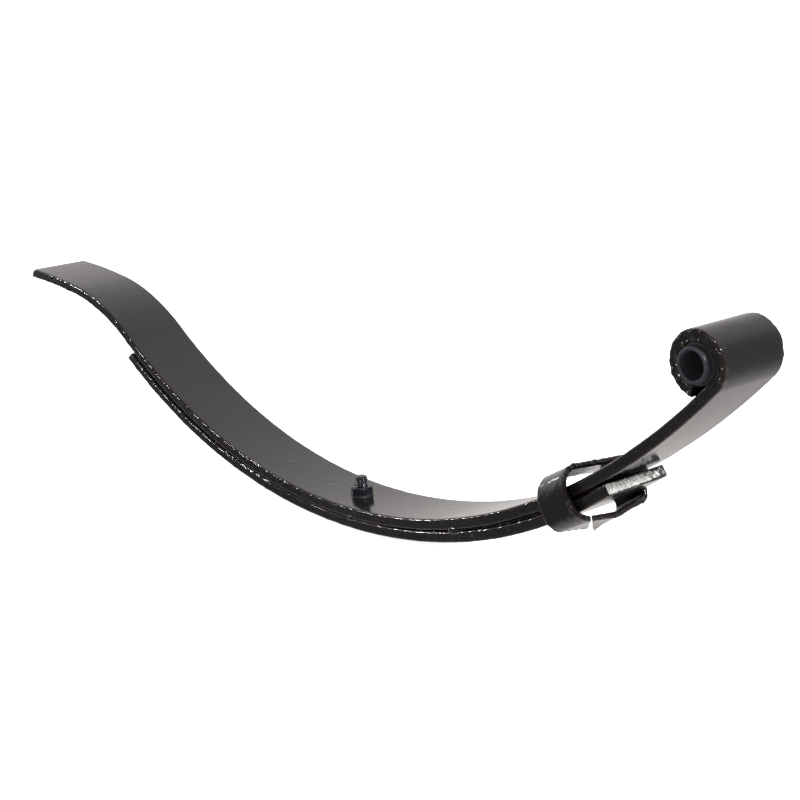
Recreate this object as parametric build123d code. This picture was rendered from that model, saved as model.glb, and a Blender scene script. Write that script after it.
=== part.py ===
from build123d import *
from math import cos, radians, sin, tan
import os

# Slipper-end leaf spring: two leaves, a centre bolt, a bushed eye and a loose rebound clip.
# Frame: +X along the spring from the slipper end to the eye, +Y across the leaves, +Z up.
# The origin is where the centre bolt's axis meets the underside of the leaf pack.
# All sizes are in millimetres and all angles in degrees.

# Spring flats
leaf_width = 60.0
leaf_thickness = 9.0
leaf_edge_radius = 1.2
seat_gap = 0.2
bolt_hole_radius = 5.3

# Main leaf, described along its upper face from the centre bolt outwards
sweep_radius = 557.0
slipper_sweep_angle = 34.7
reverse_radius = 233.5
reverse_angle = 26.7
toe_radius = 805.0
toe_angle = 5.9
toe_bevel = 6.0
eye_sweep_angle = 22.8
arm_radius = 640.0
arm_angle = 21.0
eye_radius = 14.5
eye_roll_angle = 303.7

# Second leaf, flatter than the main leaf near the bolt, so a gap opens away from it
second_middle_radius = 606.0
second_middle_length = 150.0
second_slipper_radius = 556.0
second_slipper_length = 184.0
second_eye_radius = 540.0
second_eye_length = 184.0
second_toe_bevel = 3.0

# Centre bolt and nut
bolt_radius = 4.95
bolt_head_radius = 8.0
bolt_head_height = 7.0
bolt_end_height = 35.2
bolt_chamfer = 1.0
nut_bore_radius = 5.0
nut_across_flats = 17.0
nut_height = 8.0
nut_chamfer_angle = 30.0
nut_seat_gap = 0.1

# Eye bush: a thin liner pressed in the eye, and a longer sleeve that turns in it
sleeve_bore_radius = 10.0
sleeve_radius = 12.5
sleeve_length = 69.0
sleeve_chamfer = 0.8
liner_bore_radius = 12.55
liner_radius = 14.48
liner_length = 58.0

# Rebound clip, a strap bent round both leaves with its ends butted underneath.
# Each rim's outline wraps round circles at its corners: Y, Z and radius about a point in the pack.
clip_station = 280.0
clip_pack_depth = 10.8
clip_strap_width = 34.0
clip_strap_thickness = 4.2
clip_eye_rim = [(-19.8, 5.9, 18.5), (-20.8, -2.5, 16), (2, -15.7, 6), (29.7, -9.4, 9), (26, 7.8, 12)]
clip_slipper_rim = [(-16, 3.4, 21), (-22.8, -4.2, 13.8), (3, -16.2, 6), (29, -11.5, 9.2), (26, 7.8, 12)]

# The slanted gap between the strap's ends, as Y on the strap's two rims
clip_butt_eye_side = (-24.0, -23.0)
clip_butt_slipper_side = (1.0, 5.0)

pack_height = 2 * leaf_thickness + seat_gap


class Point:
    """A place and a heading on a leaf's upper face, in the side view."""

    def __init__(self, x, z, heading):
        self.x = x
        self.z = z
        self.heading = heading

    def tangent(self):
        return (cos(radians(self.heading)), sin(radians(self.heading)))

    def below(self, depth):
        """The point that lies a depth under the upper face."""
        tx, tz = self.tangent()
        return Point(self.x + tz * depth, self.z - tx * depth, self.heading)

    def along(self, radius, turn):
        """The end of an arc that leaves this point; a positive turn bends upwards."""
        sign = 1 if turn > 0 else -1
        tx, tz = self.tangent()
        centre_x = self.x - tz * radius * sign
        centre_z = self.z + tx * radius * sign
        end = Point(0, 0, self.heading + turn)
        ex, ez = end.tangent()
        end.x = centre_x + ez * radius * sign
        end.z = centre_z - ex * radius * sign
        return end


def arc_chain(start, bends):
    """Tangent arcs from start, each given as its radius and its signed turn."""
    edges = []
    point = start
    for radius, turn in bends:
        arc = JernArc((point.x, point.z), point.tangent(), radius, turn)
        edges.append(arc)
        point = point.along(radius, turn)
    return edges, point


def leaf_faces(start, bends):
    """Upper and lower edges of a leaf that follows the bends from start to its other end."""
    upper, upper_end = arc_chain(start, bends)
    lower_bends = []
    for radius, turn in bends:
        lower_radius = radius + leaf_thickness if turn > 0 else radius - leaf_thickness
        lower_bends.append((lower_radius, turn))
    lower, lower_end = arc_chain(start.below(leaf_thickness), lower_bends)
    return upper, lower, upper_end, lower_end


def start_of(bends, z):
    """The point from which the bends lead to a level face at height z on the bolt's axis."""
    point = Point(0, z, 180)
    for radius, turn in reversed(bends):
        point = point.along(radius, -turn)
    return Point(point.x, point.z, point.heading - 180)


def leaf_solid(slipper_bends, eye_bends, top_z, bevel):
    """A flat bar bent to the profile, bevelled at its slipper end and drilled for the bolt."""
    start = start_of(slipper_bends, top_z)
    upper, lower, upper_end, lower_end = leaf_faces(start, slipper_bends + eye_bends)
    low_start = start.below(leaf_thickness)
    tx, tz = start.tangent()
    nose = (low_start.x - tx * bevel, low_start.z - tz * bevel)
    toe_cap = Line((start.x, start.z), nose)
    toe_foot = Line(nose, (low_start.x, low_start.z))
    end_cap = Line((upper_end.x, upper_end.z), (lower_end.x, lower_end.z))
    outline = make_face(upper + lower + [toe_cap, toe_foot, end_cap])
    bar = extrude(Plane.XZ * outline, leaf_width / 2, both=True)
    bar = fillet(long_edges(bar), leaf_edge_radius)
    return bar - Pos(0, 0, pack_height / 2) * Cylinder(bolt_hole_radius, 4 * pack_height)


def long_edges(bar):
    """The edges along both sides of a bent bar, without those across its ends."""
    side_edges = []
    for edge in bar.edges():
        box = edge.bounding_box()
        if box.size.Y < 0.01 and edge.length > leaf_thickness * 1.5:
            side_edges.append(edge)
    return side_edges


def main_leaf():
    slipper_bends = [(toe_radius, -toe_angle), (reverse_radius, -reverse_angle),
                     (sweep_radius, slipper_sweep_angle)]
    eye_bends = [(sweep_radius, eye_sweep_angle), (arm_radius, arm_angle), (eye_radius, eye_roll_angle)]
    return leaf_solid(slipper_bends, eye_bends, pack_height, toe_bevel)


def second_leaf():
    middle = (second_middle_radius, degrees_of(second_middle_length, second_middle_radius))
    slipper_bends = [(second_slipper_radius, degrees_of(second_slipper_length, second_slipper_radius)),
                     middle]
    eye_bends = [middle, (second_eye_radius, degrees_of(second_eye_length, second_eye_radius))]
    return leaf_solid(slipper_bends, eye_bends, leaf_thickness, second_toe_bevel)


def degrees_of(length, radius):
    return length / radius / radians(1)


def centre_bolt():
    """Round locating head under the pack, and a plain shank up through both leaves."""
    head = Pos(0, 0, -bolt_head_height / 2) * Cylinder(bolt_head_radius, bolt_head_height)
    head = chamfer(head.edges().filter_by(GeomType.CIRCLE).sort_by(Axis.Z)[0], bolt_chamfer)
    shank = Pos(0, 0, bolt_end_height / 2) * Cylinder(bolt_radius, bolt_end_height)
    shank = chamfer(shank.edges().filter_by(GeomType.CIRCLE).sort_by(Axis.Z)[-1], bolt_chamfer)
    return head + shank


def centre_nut():
    """Hexagon nut on the upper face of the main leaf, its top corners turned off."""
    flats = extrude(RegularPolygon(nut_across_flats / 2, 6, major_radius=False), nut_height)
    corner_radius = nut_across_flats / 2 / cos(radians(30))
    chamfer_width = corner_radius - nut_across_flats / 2
    chamfer_depth = chamfer_width * tan(radians(nut_chamfer_angle))
    blank = Pos(0, 0, nut_height / 2) * Cylinder(corner_radius, nut_height)
    top_edge = blank.edges().filter_by(GeomType.CIRCLE).sort_by(Axis.Z)[-1]
    blank = chamfer(top_edge, chamfer_depth, chamfer_width)
    bore = Pos(0, 0, nut_height / 2) * Cylinder(nut_bore_radius, 2 * nut_height)
    return Pos(0, 0, pack_height + nut_seat_gap) * ((flats & blank) - bore)


def eye_centre():
    """Centre of the rolled eye in the side view."""
    point = Point(0, pack_height, 0).along(sweep_radius, eye_sweep_angle).along(arm_radius, arm_angle)
    centre = point.below(-eye_radius)
    return centre.x, centre.z


def tube(outer_radius, inner_radius, length):
    """A tube on the eye's axis."""
    x, z = eye_centre()
    ring = Cylinder(outer_radius, length) - Cylinder(inner_radius, 2 * length)
    return Pos(x, 0, z) * Rot(90, 0, 0) * ring


def eye_liner():
    return tube(liner_radius, liner_bore_radius, liner_length)


def eye_sleeve():
    sleeve = tube(sleeve_radius, sleeve_bore_radius, sleeve_length)
    rims = sleeve.edges().filter_by(GeomType.CIRCLE).filter_by(
        lambda edge: abs(edge.radius - sleeve_radius) < 0.01)
    return chamfer(rims, sleeve_chamfer)


def clip_place():
    """Centre of the leaf pack where the clip sits, as a place whose X runs along the leaf."""
    arm_length = clip_station - sweep_radius * radians(eye_sweep_angle)
    face = Point(0, pack_height, 0).along(sweep_radius, eye_sweep_angle)
    face = face.along(arm_radius, degrees_of(arm_length, arm_radius))
    middle = face.below(clip_pack_depth)
    return Pos(middle.x, 0, middle.z) * Rot(0, -middle.heading, 0)


def clip_outline(corners, along, inset):
    """One rim's outline, wrapped round its corner circles and moved in by the inset."""
    rounds = []
    for across, height, radius in corners:
        rounds += (Pos(across, height) * Circle(radius - inset)).edges()
    return Plane.YZ.offset(along) * make_hull(rounds)


def clip_body(inset):
    """The solid between the clip's two rims, moved in by the inset."""
    reach = clip_strap_width / 2
    slipper_rim = clip_outline(clip_slipper_rim, -reach, inset)
    eye_rim = clip_outline(clip_eye_rim, reach, inset)
    return loft([slipper_rim, eye_rim], ruled=True)


def clip_butt():
    """The slanted gap between the strap's two ends, through the bottom of the strap."""
    reach = clip_strap_width / 2
    near_eye, far_eye = clip_butt_eye_side
    near_slipper, far_slipper = clip_butt_slipper_side
    gap = Polyline((reach, near_eye), (reach, far_eye), (-reach, far_slipper), (-reach, near_slipper),
                   close=True)
    deep = 2 * clip_pack_depth
    return Pos(0, 0, -deep - clip_pack_depth) * extrude(make_face(gap), deep)


def rebound_clip():
    """Flat strap bent to a rounded oblong; its two ends stop short of each other underneath."""
    band = clip_body(0) - clip_body(clip_strap_thickness)
    return clip_place() * (band - clip_butt())


makers = {
    "main_leaf": main_leaf,
    "second_leaf": second_leaf,
    "centre_bolt": centre_bolt,
    "centre_nut": centre_nut,
    "eye_liner": eye_liner,
    "eye_sleeve": eye_sleeve,
    "rebound_clip": rebound_clip,
}

os.makedirs("parts", exist_ok=True)
for name, make in makers.items():
    export_step(make(), f"parts/{name}.step")
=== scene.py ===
import random
from math import acos, atan2, ceil, cos, exp, hypot, pi, radians, sin, sqrt

import bpy
from mathutils import Matrix, Vector, noise


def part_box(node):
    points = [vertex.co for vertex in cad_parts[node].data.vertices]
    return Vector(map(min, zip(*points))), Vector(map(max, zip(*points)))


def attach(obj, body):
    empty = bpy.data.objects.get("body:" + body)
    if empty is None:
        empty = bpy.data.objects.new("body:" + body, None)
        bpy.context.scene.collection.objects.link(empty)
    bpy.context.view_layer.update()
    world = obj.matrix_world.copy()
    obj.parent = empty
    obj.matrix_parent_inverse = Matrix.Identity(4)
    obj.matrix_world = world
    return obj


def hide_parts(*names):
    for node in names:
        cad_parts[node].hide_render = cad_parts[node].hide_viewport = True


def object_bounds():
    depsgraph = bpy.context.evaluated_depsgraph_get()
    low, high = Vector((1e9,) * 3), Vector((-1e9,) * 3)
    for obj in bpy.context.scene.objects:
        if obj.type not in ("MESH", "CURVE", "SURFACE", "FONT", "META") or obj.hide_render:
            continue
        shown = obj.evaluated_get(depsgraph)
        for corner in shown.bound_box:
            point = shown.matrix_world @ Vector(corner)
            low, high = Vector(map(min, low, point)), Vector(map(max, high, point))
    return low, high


# Slipper-end leaf spring in thick gloss black enamel.
# Shapes below are worked in millimetres in the part's own frame, and meshes are made in metres.

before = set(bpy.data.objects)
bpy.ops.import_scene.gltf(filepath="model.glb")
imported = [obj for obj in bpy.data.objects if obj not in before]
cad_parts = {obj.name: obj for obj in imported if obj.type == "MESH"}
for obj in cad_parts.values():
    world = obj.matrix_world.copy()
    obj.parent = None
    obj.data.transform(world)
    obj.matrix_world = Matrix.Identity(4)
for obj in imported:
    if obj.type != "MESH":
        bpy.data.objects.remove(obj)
cad_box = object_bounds()

MM = 0.001


def arc(radius, length):
    """A bend known by its length, as its radius and its turn in degrees."""
    return (radius, length / radians(radius))


# Spring flats
LEAF_WIDTH = 60.0
LEAF_THICKNESS = 9.0
LEAF_CORNER = 1.8
SEAT_GAP = 0.2
PACK_HEIGHT = 2 * LEAF_THICKNESS + SEAT_GAP
MAIN_BEVEL = 6.0
MAIN_END_ROUND = 0.5
SECOND_BEVEL = 3.0
SECOND_END_ROUND = 1.6

# Bends along each leaf's upper face, as radius and turn in degrees, outwards from the bolt
MAIN_SLIPPER = [(557.0, 34.7), (233.5, -26.7), (805.0, -5.9)]
MAIN_EYE = [(557.0, 22.8), (640.0, 21.0), (14.5, 303.7)]
SECOND_SLIPPER = [arc(606.0, 150.0), arc(556.0, 184.0)]
SECOND_EYE = [arc(606.0, 150.0), arc(540.0, 184.0)]
EYE_START = sum(radius * radians(turn) for radius, turn in MAIN_EYE[:2])

# Mesh spacing: along the leaves, round a section, its share on narrow sides, and the most bend in
# degrees between two stations
LEAF_STEP = 1.9
LEAF_SECTION_STEP = 1.6
CLIP_SECTION_STEP = 1.5
NARROW_SIDE_STEP = 0.6
MOST_TURN = 2.2
SHARP_ANGLE = 38

# How much thick paint an edge takes: 1 in the middle of its corner, less where the corner ends,
# and fading over this distance on the flat beside it
CORNER_END_SHARE = 0.6
SHARE_FADE = 1.5

# Lumps in the paint, each as the height and the size of its noise
FACE_FINE = (0.04, 9)
FACE_BROAD = (0.1, 45)
SIDE_LUMPS = (0.22, 6)
EDGE_LUMPS = (0.14, 14)
EYE_RUNS = (1.0, 4.5)
EYE_LUMPS = (0.35, 2.0)
EYE_PAINT_FADE = 12.0

# Beads of paint along edges, as mean spacing, range of half lengths and range of heights.
# A leaf's are keyed by side and level; on its broad faces they stand lower than on its sides.
LEAF_BEADS = {
    (-1, -1): (11, (0.8, 2.0), (0.05, 0.32)),
    (-1, 1): (13, (1.0, 3.0), (0.05, 0.34)),
    (1, -1): (16, (0.8, 2.4), (0.04, 0.18)),
    (1, 1): (18, (1.2, 4.0), (0.04, 0.2)),
}
CLIP_EYE_BEADS = (5, (0.6, 1.8), (0.15, 0.8))
CLIP_SLIPPER_BEADS = (8, (1.0, 3.0), (0.1, 0.5))
FACE_BEAD = 0.45
BEAD_REACH = 3
MOST_BEAD = 1.4

# Two drips under the eye's near edge, as distance along, half length and height
EYE_DRIPS = ((EYE_START + 6.5, 1.0, 0.9), (EYE_START + 11.7, 2.0, 1.4))

# A dark filler in the gap between the leaves is painted shade for the shadowed gap, and its bridges across it
# are real paint runs, which reach the leaves' edge and are keyed by side, as distance along and half length.
GAP_REACH = (-305.0, 318.0)
GAP_STEP = 2.0
GAP_SET_IN = 4.5
GAP_WANDER = (1.2, 7)
GAP_LAP = 0.3
GAP_BULGE = 0.8
GAP_POINTS = 5
GAP_SHARE = 0.3
BRIDGE_LAP = 1.9
BRIDGE_PROUD = 0.15
GAP_BRIDGES = {-1: ((20.0, 6.0), (152.0, 9.0)), 1: ((-92.0, 7.0), (64.0, 5.0))}

# Sheared end of the second leaf: its lip, its marks, the torn part below them and its lean
SHEAR_MARGIN = 0.5
SHEAR_PROUD = 0.15
SHEAR_BORDER = 0.1
SHEAR_LEAN = 0.35
LIP_DEPTH = 0.55
LIP_PLACE = 0.2
LIP_SPREAD = 1.1
FINE_MARKS = (0.16, 0.8)
BROAD_MARKS = (0.22, 2.6)
TORN_GRAIN = (0.3, 1.7)
TORN_START = 4.5
TORN_BLEND = 2

# Paint lapped over the sheared end: its width, and how much wider along the top and at +Y
LAP_WIDTH = 1.3
LAP_EDGE = (0.6, 2.2)
LAP_TOP = 1.6
LAP_FAR = 5

# Rebound clip: corner circles of its two rims, as Y, Z and radius, from the near top corner round by
# the bottom one, at which the outline starts
CLIP_STATION = 280.0
CLIP_DEPTH = 10.8
CLIP_WIDTH = 34.0
CLIP_THICKNESS = 4.2
CLIP_CORNER = 1.7
CLIP_EYE_RIM = [
    (-19.8, 5.9, 18.5), (-20.8, -2.5, 16.0), (2.0, -15.7, 6.0), (29.7, -9.4, 9.0), (26.0, 7.8, 12.0)]
CLIP_SLIPPER_RIM = [
    (-16.0, 3.4, 21.0), (-22.8, -4.2, 13.8), (3.0, -16.2, 6.0), (29.0, -11.5, 9.2), (26.0, 7.8, 12.0)]
CLIP_LOW_CORNER = 2
CLIP_SAMPLES = 320
RIM_STEPS = 24
STATION_STEP = 0.5

# The strap's free ends underneath: their Y on the slipper rim and on the eye rim, the height below
# which they lie, the least distance round from one to the other, and how far the far one springs out
BUTT_NEAR_END = (1.0, -24.0)
BUTT_FAR_END = (5.0, -23.0)
BUTT_LEVEL = -8
BUTT_ROUND = 60
BUTT_SPRING = 2.8
SPRING_REACH = 30
STRAP_END_ROUND = 0.5

# Lumps in the clip's paint; inside the strap they keep only a share of their height
CLIP_BEAD_GIRTH = 240
CLIP_FINE = (0.13, 6)
CLIP_BROAD = (0.22, 17)
CLIP_RIM_LUMPS = (0.45, 3.4)
CLIP_SMALL_LUMPS = 2.2
CLIP_SMALL_ON_RIM = 0.2
CLIP_SMALL_UNDER = 0.3
CLIP_BEAD_SHARE = 0.8
CLIP_INSIDE = 0.6
CLIP_INSIDE_SHARE = 0.35

# Centre bolt and nut
BOLT_RADIUS = 5.0
BOLT_TOP = 35.2
BOLT_POINT = 1.1
BOLT_DOME = 0.15
BOLT_SKIN = 0.05
PLAIN_SHANK = 4
HEAD_RADIUS = 8.0
HEAD_HEIGHT = 7.0
HEAD_ROUND = 1.2
HEAD_FLAT = 6.6
HEAD_GAP = 0.02
AXIS_GAP = 0.02
BOLT_AROUND = 72
THREAD_PITCH = 1.5
THREAD_DEPTH = 0.55
THREAD_CREST = 0.38
THREAD_SHAPE = 0.8
THREAD_FILL = (0.25, 2.5)
THREAD_INSIDE = 0.3
NUT_FLATS = 17.0
NUT_HEIGHT = 8.0
NUT_BASE = PACK_HEIGHT + 0.1
NUT_AROUND = 144
NUT_BORE_GAP = 0.02
NUT_PAINT = 0.4
NUT_SKIRT = (0.9, 0.8)
NUT_LUMPS = (0.12, 3)
CORNER_LOSS = 0.35
TURNED_LOSS = 0.1
TURNED_HEIGHT = 0.95
TURNED_SLOPE = 1.75

# Bush in the eye
SLEEVE_RADIUS = 12.5
SLEEVE_BORE = 10.0
SLEEVE_LENGTH = 69.0
SLEEVE_EDGE = 0.6
SLEEVE_WEAR = (0.04, 4)
SLEEVE_SLACK = 0.02
SLEEVE_FACE = 0.3
LINER_RADIUS = 14.48
LINER_BORE = 12.55
LINER_LENGTH = 58.0
LINER_EDGE = 0.4
LINER_LUMPS = (0.025, 6)
LINER_LIP = 1.5
BUSH_AROUND = 96

# Studio: the floor's half size and its drop under the part in metres, and where the lamps aim
FLOOR_REACH = 90.0
FLOOR_DROP = 0.0005
LAMP_AIM = (0.05, 0, 0.08)

# Softboxes, as name, place, width and height in metres and power in watts
SOFTBOXES = (
    ("softbox_high", (-1.6, -0.9, 1.9), 0.12, 0.12, 9),
    ("softbox_side", (0.9, -1.8, 1.0), 0.10, 0.14, 8),
    ("softbox_left", (-2.0, -1.2, 0.6), 0.12, 0.12, 11),
    ("softbox_low", (-1.5, -1.5, 0.25), 0.10, 0.10, 4.5),
    ("softbox_right", (1.9, 0.4, 1.5), 0.15, 0.15, 42),
    ("softbox_front", (0.6, -1.3, 1.9), 0.12, 0.12, 12),
    ("softbox_back", (-2.4, 0.3, 0.45), 0.08, 0.12, 0.35),
)

# Where the surround dims: the axis, where it is dimmest, where it is full, and its least share
SURROUND_DIMS = (("Y", -0.55, 0.0, 0.16), ("X", 0.6, 0.15, 0.5))


# ---------------------------------------------------------------- lines and meshes

class Station:
    """A place on a leaf's upper face: X, Z, heading in radians, and distance along from the bolt."""

    def __init__(self, x, z, heading, along):
        self.x = x
        self.z = z
        self.heading = heading
        self.along = along

    def at(self, depth, across):
        """The point a depth under the upper face, at an offset across the leaf."""
        return Vector((self.x + sin(self.heading) * depth, across, self.z - cos(self.heading) * depth))

    def down(self):
        return Vector((sin(self.heading), 0, -cos(self.heading)))

    def forward(self):
        return Vector((cos(self.heading), 0, sin(self.heading)))


def half_line(bends, start, step):
    """Stations outwards along tangent arcs from a start station; positive turns bend upwards."""
    stations = [start]
    at = start
    direction = 1 if cos(start.heading) > 0 else -1
    for radius, turn in bends:
        length = radius * radians(abs(turn))
        count = max(8, ceil(length / step), ceil(abs(turn) / MOST_TURN))
        for _ in range(count):
            small = radians(turn) / count
            chord = 2 * radius * sin(abs(small) / 2)
            middle = at.heading + direction * small / 2
            at = Station(at.x + cos(middle) * chord, at.z + sin(middle) * chord,
                         at.heading + direction * small, at.along + direction * length / count)
            stations.append(at)
    return stations


def leaf_line(slipper_bends, eye_bends, top, step):
    """Stations from the slipper end to the other end of a leaf."""
    outwards = half_line(slipper_bends, Station(0, top, pi, 0), step)
    back = [Station(s.x, s.z, s.heading - pi, s.along) for s in reversed(outwards)]
    return back[:-1] + half_line(eye_bends, Station(0, top, 0, 0), step)


def oblong_ring(width, height, radius, step, corner_steps=5):
    """Points round a rounded oblong, as across, depth, outward across, outward depth and corner share."""
    ring = []
    corners = [(1, -1, -90), (1, 1, 0), (-1, 1, 90), (-1, -1, 180)]
    for index, (side, level, first) in enumerate(corners):
        cx = side * (width / 2 - radius)
        cy = height / 2 + level * (height / 2 - radius)
        for i in range(corner_steps + 1):
            angle = radians(first + 90 * i / corner_steps)
            share = 1 - abs(2 * i / corner_steps - 1) * (1 - CORNER_END_SHARE)
            ring.append((cx + radius * cos(angle), cy + radius * sin(angle), cos(angle), sin(angle), share))
        flat = height if index % 2 == 0 else width
        count = max(2, round((flat - 2 * radius) / (step * NARROW_SIDE_STEP if index % 2 == 0 else step)))
        angle = radians(first + 90)
        next_side, next_level, _ = corners[(index + 1) % 4]
        nx = next_side * (width / 2 - radius) + radius * cos(angle)
        ny = height / 2 + next_level * (height / 2 - radius) + radius * sin(angle)
        x0, y0 = ring[-1][0], ring[-1][1]
        for i in range(1, count):
            k = i / count
            reach = min(k, 1 - k) * (flat - 2 * radius)
            share = CORNER_END_SHARE * exp(-reach / SHARE_FADE)
            ring.append((x0 + (nx - x0) * k, y0 + (ny - y0) * k, cos(angle), sin(angle), share))
    return ring


def bridge(faces, first, second, count, closed=True):
    """Quads between two rings of points given by their first indices."""
    for i in range(count if closed else count - 1):
        j = (i + 1) % count
        faces.append((first + i, first + j, second + j, second + i))


def make_object(name, points, faces, sharp=None, slots=None):
    """A smooth-shaded mesh object from points in millimetres."""
    mesh = bpy.data.meshes.new(name)
    mesh.from_pydata([tuple(p * MM) for p in points], [], faces)
    mesh.validate()
    mesh.shade_smooth()
    if sharp:
        mesh.set_sharp_from_angle(angle=radians(sharp))
    if slots:
        mesh.polygons.foreach_set("material_index", slots)
    obj = bpy.data.objects.new(name, mesh)
    bpy.context.scene.collection.objects.link(obj)
    return obj


def paint_attribute(obj, name, values):
    """Stores one number for each vertex, for the materials to read."""
    attribute = obj.data.attributes.new(name, "FLOAT", "POINT")
    attribute.data.foreach_set("value", values)


def ripple(point, scale, seed):
    """Smooth noise from -1 to 1 at a place in millimetres."""
    return noise.noise(Vector(point) / scale + Vector((seed * 7.13, seed * 3.71, seed * 1.97)))


def lumps(layer, point, seed):
    """How far one layer of lumps, given as height and size, lifts the paint at a place."""
    height, size = layer
    return height * ripple(point, size, seed)


# ---------------------------------------------------------------- paint runs on the leaves

def drops(seed, low, high, spacing, sizes, heights):
    """Beads of paint scattered along an edge: distance along, half length and height."""
    draw = random.Random(seed)
    beads = []
    along = low
    while along < high:
        along += draw.expovariate(1 / spacing)
        beads.append((along, draw.uniform(*sizes), draw.uniform(*heights)))
    return beads


def bead_height(beads, along):
    """How far the beads lift the paint at a distance along the edge."""
    total = 0.0
    for place, half, height in beads:
        reach = (along - place) / half
        if abs(reach) < BEAD_REACH:
            total += height * exp(-reach * reach)
    return min(total, MOST_BEAD)


def edge_beads(seed, low, high):
    """Beads on a leaf's four long edges, keyed by side and level."""
    return {edge: drops(seed + i, low, high, *kind) for i, (edge, kind) in enumerate(LEAF_BEADS.items())}


def eye_share(along):
    """0 on the leaf's arms and 1 on the rolled eye, where the paint gathers."""
    return min(1.0, max(0.0, (along - EYE_START) / EYE_PAINT_FADE))


def leaf_bar(line, seed, bevel, end_round, sheared=False, drips=()):
    """A leaf as a painted bar swept along its line, with its paint beads and ends."""
    ring = oblong_ring(LEAF_WIDTH, LEAF_THICKNESS, LEAF_CORNER, LEAF_SECTION_STEP)
    count = len(ring)
    half_width, half_thickness = LEAF_WIDTH / 2, LEAF_THICKNESS / 2
    beads = edge_beads(seed, line[0].along, line[-1].along)
    beads[(-1, 1)] += drips
    points = []
    edge_share = []
    faces = []

    def slope(depth):
        return -bevel * depth / LEAF_THICKNESS

    def add_ring(station, inset, shift):
        lift = {key: bead_height(found, station.along) for key, found in beads.items()}
        narrow = 1 - inset / half_width
        thin = 1 - inset / half_thickness
        for across, depth, out_across, out_depth, share in ring:
            side = 1 if across > 0 else -1
            level = 1 if depth > half_thickness else -1
            base = station.at(depth, across)
            normal = station.down() * out_depth + Vector((0, out_across, 0))
            side_face = abs(out_across)
            # Sides and levels lie far apart in the noise, so that their lumps differ.
            skin = lumps(FACE_FINE, base, seed) + lumps(FACE_BROAD, base, seed + 1)
            skin += side_face * lumps(SIDE_LUMPS, (station.along, depth * 1.5, side * 40), seed + 2)
            skin += lift[(side, level)] * share * (FACE_BEAD + (1 - FACE_BEAD) * side_face)
            skin += share * lumps(EDGE_LUMPS, (station.along, side * 30, level * 30), seed + 3)
            runs = lumps(EYE_RUNS, base, seed + 5) + lumps(EYE_LUMPS, base, seed + 6)
            skin += side_face * eye_share(station.along) * runs
            inner_depth = half_thickness + (depth - half_thickness) * thin
            place = station.at(inner_depth, across * narrow) + normal * skin
            place += station.forward() * shift(depth)
            points.append(place)
            edge_share.append(share)

    first, last = line[0], line[-1]
    rounds = 4
    for i in range(rounds):
        k = i / rounds
        pull = end_round * (1 - sqrt(1 - (1 - k) ** 2))
        add_ring(first, pull, slope)
    blend_length = bevel * 2.5 + 4
    for station in line[1:-1]:
        near = max(0, 1 - (station.along - first.along) / blend_length)
        add_ring(station, 0, lambda depth, near=near: slope(depth) * near)
    tail = 1 if sheared else rounds
    for i in range(tail):
        k = (i + 1) / rounds
        pull = 0.0 if sheared else end_round * (1 - sqrt(1 - k ** 2))
        add_ring(last, pull, lambda depth: 0)
    rings = len(points) // count
    for r in range(rings - 1):
        bridge(faces, r * count, (r + 1) * count, count)
    cap(points, faces, edge_share, 0, count, True)
    if not sheared:
        cap(points, faces, edge_share, (rings - 1) * count, count, False)
    return points, faces, edge_share, count, (rings - 1) * count


def cap(points, faces, shares, start, count, reverse):
    """Closes an end ring with smaller rings inside it and a middle face."""
    middle = sum((points[start + i] for i in range(count)), Vector()) / count
    before = start
    for shrink in (0.93, 0.6):
        here = len(points)
        for i in range(count):
            points.append(middle + (points[start + i] - middle) * shrink)
            shares.append(0.4)
        if reverse:
            bridge(faces, here, before, count)
        else:
            bridge(faces, before, here, count)
        before = here
    fan = len(points)
    points.append(middle)
    shares.append(0.4)
    for i in range(count):
        j = (i + 1) % count
        face = (fan, before + j, before + i) if reverse else (fan, before + i, before + j)
        faces.append(face)


# ---------------------------------------------------------------- pieces

def main_leaf():
    line = leaf_line(MAIN_SLIPPER, MAIN_EYE, PACK_HEIGHT, LEAF_STEP)
    points, faces, shares, _, _ = leaf_bar(line, 11, MAIN_BEVEL, MAIN_END_ROUND, drips=EYE_DRIPS)
    obj = make_object("main_leaf_painted", points, faces)
    paint_attribute(obj, "bead", shares)
    return obj


def gap_shade_and_paint():
    """A dark filler as painted shade in the gap between the two leaves, set in from their edges, with real
    paint bridges.
    """
    whole = leaf_line(MAIN_SLIPPER, MAIN_EYE[:2], PACK_HEIGHT, GAP_STEP)
    upper = [s for s in whole if GAP_REACH[0] < s.along < GAP_REACH[1]]
    lower = leaf_line(SECOND_SLIPPER, SECOND_EYE, LEAF_THICKNESS, GAP_STEP)
    points = []
    faces = []
    for station in upper:
        level = station.at(LEAF_THICKNESS, 0)
        floor = min(lower, key=lambda s: abs(s.x - level.x))
        for side in (-1, 1):
            bridged = max(exp(-((station.along - place) / half) ** 4) for place, half in GAP_BRIDGES[side])
            set_in = GAP_SET_IN + lumps(GAP_WANDER, (station.along, side * 9, 0), 61)
            across = side * (LEAF_WIDTH / 2 - set_in * (1 - bridged) + BRIDGE_PROUD * bridged)
            roof = station.at(LEAF_THICKNESS - GAP_LAP - BRIDGE_LAP * bridged, 0)
            sill = floor.at(GAP_LAP + BRIDGE_LAP * bridged, 0)
            for k in range(GAP_POINTS):
                down = k / (GAP_POINTS - 1)
                bulge = GAP_BULGE * sin(pi * down)
                share = down if side < 0 else 1 - down
                place = roof + (sill - roof) * share
                points.append(Vector((place.x, across + side * bulge, place.z)))
    count = 2 * GAP_POINTS
    rows = len(points) // count
    for r in range(rows - 1):
        bridge(faces, r * count, (r + 1) * count, count)
    faces.append(tuple(reversed(range(count))))
    faces.append(tuple((rows - 1) * count + i for i in range(count)))
    obj = make_object("gap_shade_and_paint", points, faces)
    paint_attribute(obj, "bead", [GAP_SHARE] * len(points))
    return obj


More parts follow.
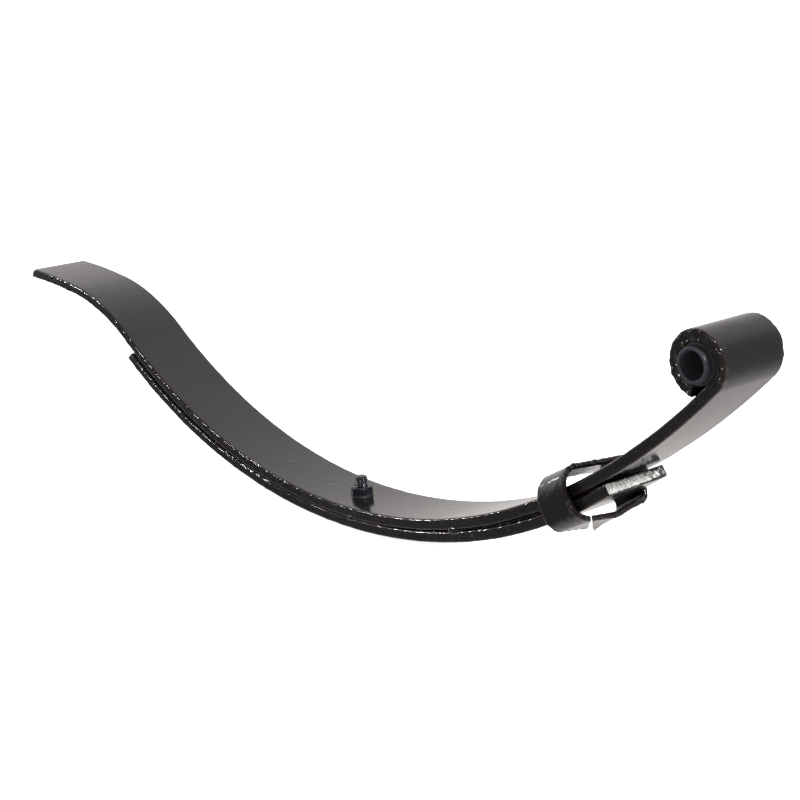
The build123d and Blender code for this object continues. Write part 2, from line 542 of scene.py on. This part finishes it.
def shear_depth(across, depth):
    """How far the sheared end stands out: a smooth burnished lip, then a rough break."""
    lip = LIP_DEPTH * exp(-((depth - LIP_PLACE) / LIP_SPREAD) ** 2)
    marks = lumps(FINE_MARKS, (across, depth * 0.12, 0), 5)
    marks += lumps(BROAD_MARKS, (across, depth * 0.2, 9), 6)
    torn = lumps(TORN_GRAIN, (across, depth, 4), 8) * min(1, max(0, (depth - TORN_START) / TORN_BLEND))
    return marks - lip + torn - SHEAR_LEAN * (depth / LEAF_THICKNESS)


def paint_lap(across, depth):
    """1 where paint laps over the sheared face's border and 0 on bare steel; it laps furthest at +Y."""
    near, far = across + LEAF_WIDTH / 2, LEAF_WIDTH / 2 - across
    border = min(near, depth / LAP_TOP, LEAF_THICKNESS - depth, far / LAP_FAR)
    return min(1.0, max(0.0, LAP_WIDTH - border + lumps(LAP_EDGE, (across, depth * 2, 3), 12)))


def second_leaf():
    """The shorter leaf; its eye side is cut square and left bare, apart from the paint round it."""
    line = leaf_line(SECOND_SLIPPER, SECOND_EYE, LEAF_THICKNESS, LEAF_STEP)
    points, faces, shares, count, last_ring = leaf_bar(line, 37, SECOND_BEVEL, SECOND_END_ROUND,
                                                       sheared=True)
    laps = [0.0] * len(points)
    slots = [0] * len(faces)
    end = line[-1]
    columns, rows = 120, 14
    grid = len(points)
    for c in range(columns + 1):
        for r in range(rows + 1):
            u = 2 * c / columns - 1
            v = 2 * r / rows - 1
            across = u * (LEAF_WIDTH / 2 - SHEAR_MARGIN)
            depth = LEAF_THICKNESS / 2 + v * (LEAF_THICKNESS / 2 - SHEAR_MARGIN)
            edge = max(abs(u) ** 40, abs(v) ** 12)  # 1 on the face's border, 0 a little inside it
            out = shear_depth(across, depth) * (1 - edge) + SHEAR_BORDER * edge
            points.append(end.at(depth, across) + end.forward() * (out + SHEAR_PROUD))
            shares.append(0.0)
            laps.append(paint_lap(across, depth))
    for c in range(columns):
        for r in range(rows):
            a = grid + c * (rows + 1) + r
            faces.append((a, a + 1, a + rows + 2, a + rows + 1))
            slots.append(1)
    border = [grid + c * (rows + 1) for c in range(columns + 1)]
    border += [grid + columns * (rows + 1) + r for r in range(1, rows + 1)]
    border += [grid + c * (rows + 1) + rows for c in reversed(range(columns))]
    border += [grid + r for r in reversed(range(1, rows))]
    stitch(points, faces, slots, last_ring, count, border, end)
    obj = make_object("second_leaf_painted", points, faces, slots=slots)
    paint_attribute(obj, "bead", shares)
    paint_attribute(obj, "lap", laps)
    paint_attribute(obj, "far", [v.co.y / (LEAF_WIDTH * MM) + 0.5 for v in obj.data.vertices])
    return obj


def stitch(points, faces, slots, ring_start, count, border, station):
    """Triangles between the bar's last ring and the sheared face's border."""
    centre = station.at(LEAF_THICKNESS / 2, 0)

    def share_round(point):
        offset = point - centre
        u = offset.y / (LEAF_WIDTH / 2)
        v = offset.dot(station.down()) / (LEAF_THICKNESS / 2)
        size = max(abs(u), abs(v))
        u, v = u / size, v / size
        if v <= -0.999:
            return (u + 1) / 8
        if u >= 0.999:
            return 0.25 + (v + 1) / 8
        if v >= 0.999:
            return 0.5 + (1 - u) / 8
        return 0.75 + (1 - v) / 8

    outer = sorted((share_round(points[ring_start + i]), ring_start + i) for i in range(count))
    inner = sorted((share_round(points[i]), i) for i in border)
    i = j = 0
    while i < len(outer) or j < len(inner):
        a, b = outer[i % len(outer)], inner[j % len(inner)]
        next_a = outer[(i + 1) % len(outer)][0] + (1 if i + 1 >= len(outer) else 0)
        next_b = inner[(j + 1) % len(inner)][0] + (1 if j + 1 >= len(inner) else 0)
        if j >= len(inner) or (i < len(outer) and next_a <= next_b):
            faces.append((a[1], outer[(i + 1) % len(outer)][1], b[1]))
            i += 1
        else:
            faces.append((a[1], inner[(j + 1) % len(inner)][1], b[1]))
            j += 1
        slots.append(0)


def turned(name, place, profile, around, radius_at=None):
    """A turned piece: its profile of radius and height, closed, spun about its own Z axis."""
    points = []
    faces = []
    rows = len(profile)
    for i in range(around):
        angle = 2 * pi * i / around
        for radius, height in profile:
            r = radius_at(radius, angle, height) if radius_at else radius
            points.append(place @ Vector((r * cos(angle), r * sin(angle), height)))
    for i in range(around):
        j = (i + 1) % around
        for r in range(rows):
            n = (r + 1) % rows
            faces.append((i * rows + r, j * rows + r, j * rows + n, i * rows + n))
    return make_object(name, points, faces, sharp=SHARP_ANGLE)


def arc_profile(radius, height, size, first, last, steps=4):
    """A rounded corner of a turned profile, about its own centre."""
    rounded = []
    for i in range(steps + 1):
        angle = radians(first + (last - first) * i / steps)
        rounded.append((radius + size * cos(angle), height + size * sin(angle)))
    return rounded


def span(start, end, steps):
    """Points between two profile points, without the first."""
    return [(start[0] + (end[0] - start[0]) * i / steps, start[1] + (end[1] - start[1]) * i / steps)
            for i in range(1, steps + 1)]


def centre_bolt():
    """Round head, then a threaded shank whose thread is half filled with paint."""
    profile = [(AXIS_GAP, -HEAD_HEIGHT)]
    profile += span(profile[-1], (HEAD_FLAT, -HEAD_HEIGHT), 4)
    profile += arc_profile(HEAD_RADIUS - HEAD_ROUND, -HEAD_HEIGHT + HEAD_ROUND, HEAD_ROUND, -90, 0, 6)[1:]
    profile += span(profile[-1], (HEAD_RADIUS, -HEAD_GAP), 5)
    profile += span(profile[-1], (BOLT_RADIUS, -HEAD_GAP), 3)
    profile += span(profile[-1], (BOLT_RADIUS, BOLT_TOP - BOLT_POINT), 150)
    profile += span(profile[-1], (BOLT_RADIUS - BOLT_POINT, BOLT_TOP - BOLT_DOME), 5)
    profile += span(profile[-1], (AXIS_GAP, BOLT_TOP), 4)

    def thread(radius, angle, height):
        if radius < BOLT_RADIUS - THREAD_INSIDE or height < PLAIN_SHANK:
            return radius + BOLT_SKIN * (1 + ripple((radius * cos(angle), radius * sin(angle), height), 3, 4))
        turn = (height / THREAD_PITCH - angle / (2 * pi)) % 1
        wave = abs(2 * turn - 1)
        fill = 0.75 + lumps(THREAD_FILL, (6 * cos(angle), 6 * sin(angle), height), 3)
        return radius + THREAD_CREST - THREAD_DEPTH * fill * (1 - wave) ** THREAD_SHAPE

    return turned("centre_bolt_threaded", Matrix.Identity(4), profile, BOLT_AROUND, thread)


def centre_nut():
    """Hexagon nut with its corners turned off, its flats rounded over by paint."""
    corner = NUT_FLATS / 2 / cos(radians(30))
    inner = BOLT_RADIUS + NUT_BORE_GAP
    top = NUT_BASE + NUT_HEIGHT
    profile = [(inner, NUT_BASE), (corner, NUT_BASE)]
    profile += span(profile[-1], (corner, top - 0.02), 26)
    profile += span((corner, top), (NUT_FLATS / 2 - 0.6, top), 6)
    profile += span(profile[-1], (inner + 0.8, top), 3)
    profile += span(profile[-1], (inner, top - 0.7), 2)
    profile += span(profile[-1], (inner, NUT_BASE), 3)[:-1]

    def hexagon(radius, angle, height):
        if radius < NUT_FLATS / 2 - 1:
            return radius
        turn = (angle + radians(30)) % radians(60) - radians(30)
        flat = NUT_FLATS / 2 / cos(turn)
        flat = min(flat, corner - CORNER_LOSS - 0.4 * max(0, abs(turn) - radians(27)))
        slope = corner - TURNED_LOSS - max(0, height - (top - TURNED_HEIGHT)) * TURNED_SLOPE
        size = min(flat, slope, radius, corner)
        skirt, fade = NUT_SKIRT
        run = skirt * exp(-(height - NUT_BASE) / fade)
        return size + NUT_PAINT + run + lumps(NUT_LUMPS, (size * cos(angle), size * sin(angle), height), 9)

    return turned("centre_nut_hex", Matrix.Identity(4), profile, NUT_AROUND, hexagon)


def eye_place():
    """A place whose origin is the eye's centre and whose Z axis runs along the eye."""
    low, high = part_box("eye_sleeve")
    centre = (low + high) / 2 / MM
    return Matrix.Translation(centre) @ Matrix.Rotation(radians(90), 4, "X")


def bush_profile(outer, bore, length, edge):
    """A closed tube profile with all four edges rounded."""
    half = length / 2
    profile = arc_profile(outer - edge, -half + edge, edge, -90, 0)
    profile += span(profile[-1], (outer, half - edge), 24)
    profile += arc_profile(outer - edge, half - edge, edge, 0, 90)[1:]
    profile += span(profile[-1], (bore + edge, half), 3)
    profile += arc_profile(bore + edge, half - edge, edge, 90, 180)[1:]
    profile += span(profile[-1], (bore, -half + edge), 24)
    profile += arc_profile(bore + edge, -half + edge, edge, 180, 270)[1:]
    profile += span(profile[-1], (outer - edge, -half), 3)[:-1]
    return profile


def eye_sleeve():
    """The steel tube that turns in the liner, with its end faces marked for the material."""
    def worn(radius, angle, height):
        return radius + lumps(SLEEVE_WEAR, (radius * cos(angle), radius * sin(angle), height), 21)

    profile = bush_profile(SLEEVE_RADIUS - SLEEVE_SLACK, SLEEVE_BORE, SLEEVE_LENGTH, SLEEVE_EDGE)
    obj = turned("eye_sleeve_tube", eye_place(), profile, BUSH_AROUND, worn)
    face = (SLEEVE_LENGTH / 2 - SLEEVE_FACE) * MM
    paint_attribute(obj, "end", [1.0 if abs(v.co.y) > face else 0.0 for v in obj.data.vertices])
    return obj


def eye_liner():
    """The thin liner pressed in the eye, its ends a little uneven."""
    def moulded(radius, angle, height):
        if abs(height) <= LINER_LENGTH / 2 - LINER_LIP:
            return radius
        return radius - abs(lumps(LINER_LUMPS, (radius * cos(angle), radius * sin(angle), height), 23))

    profile = bush_profile(LINER_RADIUS, LINER_BORE, LINER_LENGTH, LINER_EDGE)
    return turned("eye_liner_tube", eye_place(), profile, BUSH_AROUND, moulded)


# ---------------------------------------------------------------- rebound clip

def hull_line(corners):
    """Points and outward normals round the circles, from the bottom, the same count on every rim."""
    arcs = []
    total = len(corners)
    for i in range(total):
        y0, z0, r0 = corners[i]
        y1, z1, r1 = corners[(i + 1) % total]
        length = hypot(y1 - y0, z1 - z0)
        along = atan2(z1 - z0, y1 - y0)
        arcs.append(along - acos((r0 - r1) / length))
    line = []
    for step in range(total):
        i = (CLIP_LOW_CORNER + step) % total
        y, z, r = corners[i]
        first, last = arcs[i - 1], arcs[i]
        while last < first:
            last += 2 * pi
        for k in range(RIM_STEPS + 1):
            angle = first + (last - first) * k / RIM_STEPS
            line.append((y + r * cos(angle), z + r * sin(angle), cos(angle), sin(angle)))
        ny, nz, nr = corners[(i + 1) % total]
        start = line[-1]
        end = (ny + nr * cos(arcs[i]), nz + nr * sin(arcs[i]))
        for k in range(1, RIM_STEPS):
            line.append((start[0] + (end[0] - start[0]) * k / RIM_STEPS,
                         start[1] + (end[1] - start[1]) * k / RIM_STEPS, start[2], start[3]))
    return line


def mixed_line(share):
    """The clip's outline between its slipper rim, at 0, and its eye rim, at 1."""
    slipper = hull_line(CLIP_SLIPPER_RIM)
    eye = hull_line(CLIP_EYE_RIM)
    return [tuple(a + (b - a) * share for a, b in zip(p, q)) for p, q in zip(slipper, eye)]


def strap_line(share, samples):
    """The strap from its far end, round the far side, the top and the near side, to its near end."""
    line = mixed_line(share)
    near_end = BUTT_NEAR_END[0] + (BUTT_NEAR_END[1] - BUTT_NEAR_END[0]) * share
    far_end = BUTT_FAR_END[0] + (BUTT_FAR_END[1] - BUTT_FAR_END[0]) * share
    closed = line + line + line[:1]
    lengths = [0.0]
    for p, q in zip(closed, closed[1:]):
        lengths.append(lengths[-1] + hypot(q[0] - p[0], q[1] - p[1]))
    crossings = {}
    for key, goal in (("far", far_end), ("near", near_end)):
        found = []
        for i in range(len(closed) - 1):
            low, high = closed[i][0], closed[i + 1][0]
            if closed[i][1] < BUTT_LEVEL and low <= goal < high:
                k = (goal - low) / (high - low)
                found.append(lengths[i] + k * (lengths[i + 1] - lengths[i]))
        crossings[key] = found
    start = crossings["far"][0]
    end = next(c for c in crossings["near"] if c > start + BUTT_ROUND)
    sampled = []
    i = 0
    for s in range(samples + 1):
        goal = start + (end - start) * s / samples
        while lengths[i + 1] < goal:
            i += 1
        k = (goal - lengths[i]) / max(1e-9, lengths[i + 1] - lengths[i])
        p = [a + (b - a) * k for a, b in zip(closed[i], closed[i + 1])]
        size = hypot(p[2], p[3])
        sampled.append((p[0], p[1], p[2] / size, p[3] / size))
    return sampled, end - start


def rebound_clip():
    """The strap, with sheared rims rounded by paint, drips and its two free ends underneath."""
    ring = oblong_ring(CLIP_WIDTH, CLIP_THICKNESS, CLIP_CORNER, CLIP_SECTION_STEP, 6)
    count = len(ring)
    station = next(s for s in half_line(MAIN_EYE[:2], Station(0, PACK_HEIGHT, 0, 0), STATION_STEP)
                   if s.along >= CLIP_STATION)
    centre = station.at(CLIP_DEPTH, 0)
    forward, across, up = station.forward(), Vector((0, 1, 0)), -station.down()
    eye_beads = drops(71, 0, CLIP_BEAD_GIRTH, *CLIP_EYE_BEADS)
    slipper_beads = drops(72, 0, CLIP_BEAD_GIRTH, *CLIP_SLIPPER_BEADS)
    lines = {}
    points = []
    faces = []
    shares = []
    for s in range(CLIP_SAMPLES + 1):
        end_gap = min(s, CLIP_SAMPLES - s)
        inset = STRAP_END_ROUND * (1 - sqrt(1 - (1 - min(end_gap, 2) / 2) ** 2))
        for along, depth, out_along, out_depth, share in ring:
            key = round(along, 4)
            if key not in lines:
                lines[key] = strap_line(min(1, max(0, along / CLIP_WIDTH + 0.5)), CLIP_SAMPLES)
            line, length = lines[key]
            y, z, ny, nz = line[s]
            travel = length * s / CLIP_SAMPLES
            away = max(0.0, 1 - travel / SPRING_REACH)
            spring = BUTT_SPRING * away * away * max(0, 0.5 - along / CLIP_WIDTH)
            inner = CLIP_THICKNESS / 2 + (depth - CLIP_THICKNESS / 2) * (1 - inset / 2)
            beads = eye_beads if along > 0 else slipper_beads
            skin = lumps(CLIP_FINE, (along, travel, depth), 51) + lumps(CLIP_BROAD, (along, travel, 0), 52)
            skin += share * lumps(CLIP_RIM_LUMPS, (travel, along, depth), 53)
            skin += share * CLIP_BEAD_SHARE * bead_height(beads, travel)
            small = CLIP_SMALL_ON_RIM * share + CLIP_SMALL_UNDER * max(0.0, -nz)
            skin += small * ripple((travel, along, depth), CLIP_SMALL_LUMPS, 54)
            if depth > CLIP_THICKNESS * CLIP_INSIDE:
                skin *= CLIP_INSIDE_SHARE
            py = y - ny * (inner - spring)
            pz = z - nz * (inner - spring)
            place = centre + forward * along + across * py + up * pz
            normal = forward * out_along - (across * ny + up * nz) * out_depth
            points.append(place + normal * skin)
            shares.append(share)
    for s in range(CLIP_SAMPLES):
        bridge(faces, s * count, (s + 1) * count, count)
    cap(points, faces, shares, 0, count, True)
    cap(points, faces, shares, CLIP_SAMPLES * count, count, False)
    obj = make_object("rebound_clip_strap", points, faces)
    paint_attribute(obj, "bead", shares)
    return obj


# ---------------------------------------------------------------- materials

class Nodes:
    """Short calls for building a material's nodes."""

    def __init__(self, name):
        self.material = bpy.data.materials.new(name)
        self.material.use_nodes = True
        self.tree = self.material.node_tree
        self.shader = next(n for n in self.tree.nodes if n.type == "BSDF_PRINCIPLED")
        self.place = self.tree.nodes.new("ShaderNodeTexCoord").outputs["Object"]

    def link(self, output, socket):
        self.tree.links.new(output, socket)

    def set(self, **values):
        for name, value in values.items():
            self.shader.inputs[name.replace("_", " ")].default_value = value

    def mapped(self, scale):
        mapping = self.tree.nodes.new("ShaderNodeMapping")
        mapping.inputs["Scale"].default_value = scale
        self.link(self.place, mapping.inputs["Vector"])
        return mapping.outputs["Vector"]

    def noise(self, scale, detail=3.0, rough=0.5, stretch=None):
        node = self.tree.nodes.new("ShaderNodeTexNoise")
        node.inputs["Scale"].default_value = scale
        node.inputs["Detail"].default_value = detail
        node.inputs["Roughness"].default_value = rough
        self.link(self.mapped(stretch) if stretch else self.place, node.inputs["Vector"])
        return node.outputs["Fac"]

    def attribute(self, name):
        node = self.tree.nodes.new("ShaderNodeAttribute")
        node.attribute_name = name
        return node.outputs["Fac"]

    def span(self, value, low, high, to_low=0.0, to_high=1.0):
        node = self.tree.nodes.new("ShaderNodeMapRange")
        node.interpolation_type = "SMOOTHSTEP"
        for name, number in (("From Min", low), ("From Max", high), ("To Min", to_low), ("To Max", to_high)):
            node.inputs[name].default_value = number
        self.link(value, node.inputs["Value"])
        return node.outputs["Result"]

    def ramp(self, value, stops):
        node = self.tree.nodes.new("ShaderNodeValToRGB")
        band = node.color_ramp
        while len(band.elements) < len(stops):
            band.elements.new(0.5)
        for element, (place, colour) in zip(band.elements, stops):
            element.position = place
            element.color = (*colour, 1)
        self.link(value, node.inputs["Fac"])
        return node.outputs["Color"]

    def mix(self, share, first, second):
        node = self.tree.nodes.new("ShaderNodeMix")
        node.data_type = "RGBA"
        for key, value in (("Factor", share), ("A", first), ("B", second)):
            socket = node.inputs[key]
            if isinstance(value, bpy.types.NodeSocket):
                self.link(value, socket)
            elif isinstance(value, tuple):
                socket.default_value = (*value, 1)
            else:
                socket.default_value = value
        return node.outputs["Result"]

    def sum(self, *terms):
        total = None
        for value, weight in terms:
            node = self.tree.nodes.new("ShaderNodeMath")
            node.operation = "MULTIPLY_ADD"
            self.link(value, node.inputs[0])
            node.inputs[1].default_value = weight
            if total is None:
                node.inputs[2].default_value = 0.0
            else:
                self.link(total, node.inputs[2])
            total = node.outputs[0]
        return total

    def pimples(self, scale):
        """Sparse small lumps, from the middles of a few cells."""
        node = self.tree.nodes.new("ShaderNodeTexVoronoi")
        node.inputs["Scale"].default_value = scale
        self.link(self.place, node.inputs["Vector"])
        lump = self.span(node.outputs["Distance"], 0.0, 0.12, 1.0, 0.0)
        few = self.span(node.outputs["Color"], 0.62, 0.66)
        product = self.tree.nodes.new("ShaderNodeMath")
        product.operation = "MULTIPLY"
        self.link(lump, product.inputs[0])
        self.link(few, product.inputs[1])
        return product.outputs[0]

    def bump(self, height, strength, distance):
        node = self.tree.nodes.new("ShaderNodeBump")
        node.inputs["Strength"].default_value = strength
        node.inputs["Distance"].default_value = distance
        self.link(height, node.inputs["Height"])
        self.link(node.outputs["Normal"], self.shader.inputs["Normal"])


EDGE_BROWN = (0.012, 0.008, 0.006)


def enamel(name, dark, light, rough, peel):
    """Gloss black enamel: orange peel, faint dust, and thicker, glossier paint on the edges."""
    n = Nodes(name)
    n.set(Metallic=0.0, IOR=1.5)
    cloud = n.noise(9.0, 5.0, 0.6)
    speck = n.span(n.noise(420.0, 2.0, 0.6), 0.68, 0.76)
    colour = n.ramp(cloud, [(0.32, dark), (0.72, light)])
    dusty = n.mix(speck, colour, (0.05, 0.046, 0.042))
    browned = n.span(n.attribute("bead"), 0.15, 0.6, 0.0, 0.5)
    n.link(n.mix(browned, dusty, EDGE_BROWN), n.shader.inputs["Base Color"])
    haze = n.noise(26.0, 6.0, 0.65)
    wear = n.noise(5.0, 3.0, 0.5, (1.0, 3.0, 1.0))
    level = n.sum((haze, 0.16), (wear, 0.10), (speck, 0.25), (n.attribute("bead"), -0.08))
    n.link(n.span(level, 0.0, 0.45, rough * 0.55, rough * 1.9), n.shader.inputs["Roughness"])
    blemish = n.pimples(42.0)
    height = n.sum((n.noise(170.0, 2.0, 0.5), 1.0), (n.noise(55.0, 2.0, 0.5), 1.4),
                   (speck, 0.5), (blemish, 7.0))
    n.bump(height, peel, 0.0004)
    return n.material


def fastener_enamel():
    """The thinner, slightly blue paint on the bolt and nut."""
    n = Nodes("fastener_enamel")
    n.set(Metallic=0.0, IOR=1.5)
    worn = n.span(n.noise(260.0, 4.0, 0.7), 0.55, 0.75)
    n.link(n.mix(worn, (0.006, 0.008, 0.013), (0.03, 0.034, 0.042)), n.shader.inputs["Base Color"])
    n.link(n.span(n.noise(120.0, 4.0, 0.6), 0.3, 0.7, 0.16, 0.42), n.shader.inputs["Roughness"])
    n.bump(n.noise(500.0, 3.0, 0.6), 0.35, 0.0003)
    return n.material


def sheared_steel():
    """Bare sheared end: bright burnished marks down the cut, torn grain and traces of paint."""
    n = Nodes("sheared_steel")
    n.set(IOR=1.6)
    streaks = n.noise(900.0, 4.0, 0.7, (0.12, 1.0, 0.12))
    grain = n.noise(1500.0, 3.0, 0.6)
    cover = n.sum((n.noise(230.0, 5.0, 0.75), 1.0), (n.attribute("far"), 0.42), (n.attribute("lap"), 0.5))
    painted = n.span(cover, 0.80, 0.93)
    bright = n.ramp(n.sum((streaks, 0.7), (grain, 0.3)),
                    [(0.36, (0.12, 0.115, 0.10)), (0.47, (0.62, 0.62, 0.59)), (0.60, (0.95, 0.95, 0.93))])
    n.link(n.mix(painted, bright, (0.006, 0.006, 0.006)), n.shader.inputs["Base Color"])
    n.link(n.span(painted, 0.0, 1.0, 0.45, 0.0), n.shader.inputs["Metallic"])
    polish = n.sum((streaks, 0.5), (painted, -0.8))
    n.link(n.span(polish, -0.6, 0.35, 0.1, 0.5), n.shader.inputs["Roughness"])
    n.bump(n.sum((streaks, 1.0), (grain, 0.5)), 0.7, 0.0005)
    return n.material


def liner_plastic():
    """Matt black moulded plastic of the bush's liner."""
    n = Nodes("liner_plastic")
    n.set(Metallic=0.0, IOR=1.45)
    n.link(n.ramp(n.noise(300.0, 4.0, 0.6), [(0.3, (0.008, 0.008, 0.009)), (0.7, (0.02, 0.02, 0.021))]),
           n.shader.inputs["Base Color"])
    n.link(n.span(n.noise(90.0, 3.0, 0.5), 0.3, 0.7, 0.45, 0.7), n.shader.inputs["Roughness"])
    n.bump(n.noise(700.0, 2.0, 0.5), 0.25, 0.0002)
    return n.material


def sleeve_steel():
    """Oily dark steel tube whose end faces are rubbed a little brighter."""
    n = Nodes("sleeve_steel")
    n.set(IOR=1.5)
    turning = n.noise(1100.0, 3.0, 0.6)
    stain = n.noise(60.0, 5.0, 0.7)
    base = n.ramp(n.sum((turning, 0.3), (stain, 0.7)),
                  [(0.3, (0.012, 0.012, 0.016)), (0.7, (0.07, 0.07, 0.08))])
    n.link(n.mix(n.attribute("end"), base, (0.035, 0.035, 0.046)), n.shader.inputs["Base Color"])
    n.link(n.span(stain, 0.3, 0.7, 0.35, 0.75), n.shader.inputs["Metallic"])
    n.link(n.span(turning, 0.3, 0.7, 0.28, 0.5), n.shader.inputs["Roughness"])
    n.bump(turning, 0.4, 0.0002)
    return n.material


# ---------------------------------------------------------------- studio

def studio():
    """Pale floor, a soft white surround that is dimmer towards -Y and +X, and small softboxes."""
    mesh = bpy.data.meshes.new("studio_floor")
    level = cad_box[0][2] - FLOOR_DROP
    corners = [(x * FLOOR_REACH, y * FLOOR_REACH, level) for x, y in ((-1, -1), (1, -1), (1, 1), (-1, 1))]
    mesh.from_pydata(corners, [], [(0, 1, 2, 3)])
    floor = bpy.data.objects.new("studio_floor", mesh)
    bpy.context.scene.collection.objects.link(floor)
    n = Nodes("floor_paper")
    n.set(Roughness=0.9, Emission_Strength=0.9)
    n.shader.inputs["Specular IOR Level"].default_value = 0.0
    n.link(n.ramp(n.noise(1.5, 2.0, 0.5), [(0.3, (0.86, 0.86, 0.86)), (0.7, (0.88, 0.88, 0.88))]),
           n.shader.inputs["Base Color"])
    n.shader.inputs["Emission Color"].default_value = (1, 1, 1, 1)
    mesh.materials.append(n.material)
    floor.visible_glossy = False

    world = bpy.data.worlds.new("studio_surround")
    bpy.context.scene.world = world
    world.use_nodes = True
    tree = world.node_tree
    back = tree.nodes["Background"]
    direction = tree.nodes.new("ShaderNodeTexCoord").outputs["Generated"]
    split = tree.nodes.new("ShaderNodeSeparateXYZ")
    tree.links.new(direction, split.inputs[0])
    shares = []
    for axis, low, high, least in SURROUND_DIMS:
        share = tree.nodes.new("ShaderNodeMapRange")
        share.interpolation_type = "SMOOTHSTEP"
        share.inputs["From Min"].default_value = low
        share.inputs["From Max"].default_value = high
        share.inputs["To Min"].default_value = least
        tree.links.new(split.outputs[axis], share.inputs["Value"])
        shares.append(share.outputs["Result"])
    both = tree.nodes.new("ShaderNodeMath")
    both.operation = "MULTIPLY"
    tree.links.new(shares[0], both.inputs[0])
    tree.links.new(shares[1], both.inputs[1])
    ramp = tree.nodes.new("ShaderNodeValToRGB")
    ramp.color_ramp.elements[0].color = (0.0, 0.0, 0.0, 1)
    ramp.color_ramp.elements[1].color = (0.97, 0.93, 0.91, 1)
    tree.links.new(both.outputs[0], ramp.inputs["Fac"])
    tree.links.new(ramp.outputs["Color"], back.inputs["Color"])
    back.inputs["Strength"].default_value = 0.95

    for lamp in SOFTBOXES:
        softbox(*lamp)


def softbox(name, place, width, height, power):
    """A small rectangular lamp aimed at the part."""
    light = bpy.data.lights.new(name, "AREA")
    light.shape = "RECTANGLE"
    light.size = width
    light.size_y = height
    light.energy = power
    lamp = bpy.data.objects.new(name, light)
    aim = Vector(LAMP_AIM) - Vector(place)
    lamp.location = place
    lamp.rotation_euler = aim.to_track_quat("-Z", "Y").to_euler()
    bpy.context.scene.collection.objects.link(lamp)


def camera():
    """Three-quarter view from the eye's side, with a slight roll."""
    target = Vector((0.0591, 0.0, 0.1119))
    distance = 1.390
    azimuth, elevation, roll = radians(51.34), radians(15.0), radians(3.39)
    outward = Vector((sin(azimuth) * cos(elevation), -cos(azimuth) * cos(elevation), sin(elevation)))
    lens = bpy.data.cameras.new("view_camera")
    lens.sensor_width = 36.0
    lens.lens = 76.9
    obj = bpy.data.objects.new("view_camera", lens)
    turn = (-outward).to_track_quat("-Z", "Y").to_matrix().to_4x4()
    obj.matrix_world = Matrix.Translation(target + outward * distance) @ turn @ Matrix.Rotation(-roll, 4, "Z")
    bpy.context.scene.collection.objects.link(obj)
    bpy.context.scene.camera = obj
    bpy.context.scene.view_settings.view_transform = "Standard"


# ---------------------------------------------------------------- assembly

def place_piece(obj, node, body, slot, *materials):
    for material in materials:
        obj.data.materials.append(material)
    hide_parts(node)
    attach(obj, body)


leaf_enamel = enamel("leaf_enamel", (0.003, 0.003, 0.0035), (0.009, 0.0085, 0.0085), 0.15, 0.14)
clip_enamel = enamel("clip_enamel", (0.003, 0.003, 0.0035), (0.008, 0.008, 0.009), 0.085, 0.28)

camera()
studio()

place_piece(main_leaf(), "main_leaf", "leaf_pack", "leaf_paint", leaf_enamel)
place_piece(second_leaf(), "second_leaf", "leaf_pack", "leaf_paint", leaf_enamel, sheared_steel())
# Dark filler that stands in for the shade in the gap between the leaves, with real paint bridges across it
gap_shade_and_bridges = gap_shade_and_paint()
gap_shade_and_bridges.data.materials.append(leaf_enamel)
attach(gap_shade_and_bridges, "leaf_pack")
place_piece(centre_bolt(), "centre_bolt", "leaf_pack", "fastener_paint", fastener_enamel())
place_piece(centre_nut(), "centre_nut", "leaf_pack", "fastener_paint", fastener_enamel())
place_piece(eye_liner(), "eye_liner", "leaf_pack", "bush_liner", liner_plastic())
place_piece(eye_sleeve(), "eye_sleeve", "bush_sleeve", "bush_sleeve", sleeve_steel())
place_piece(rebound_clip(), "rebound_clip", "clip", "clip_paint", clip_enamel)

bpy.context.view_layer.update()
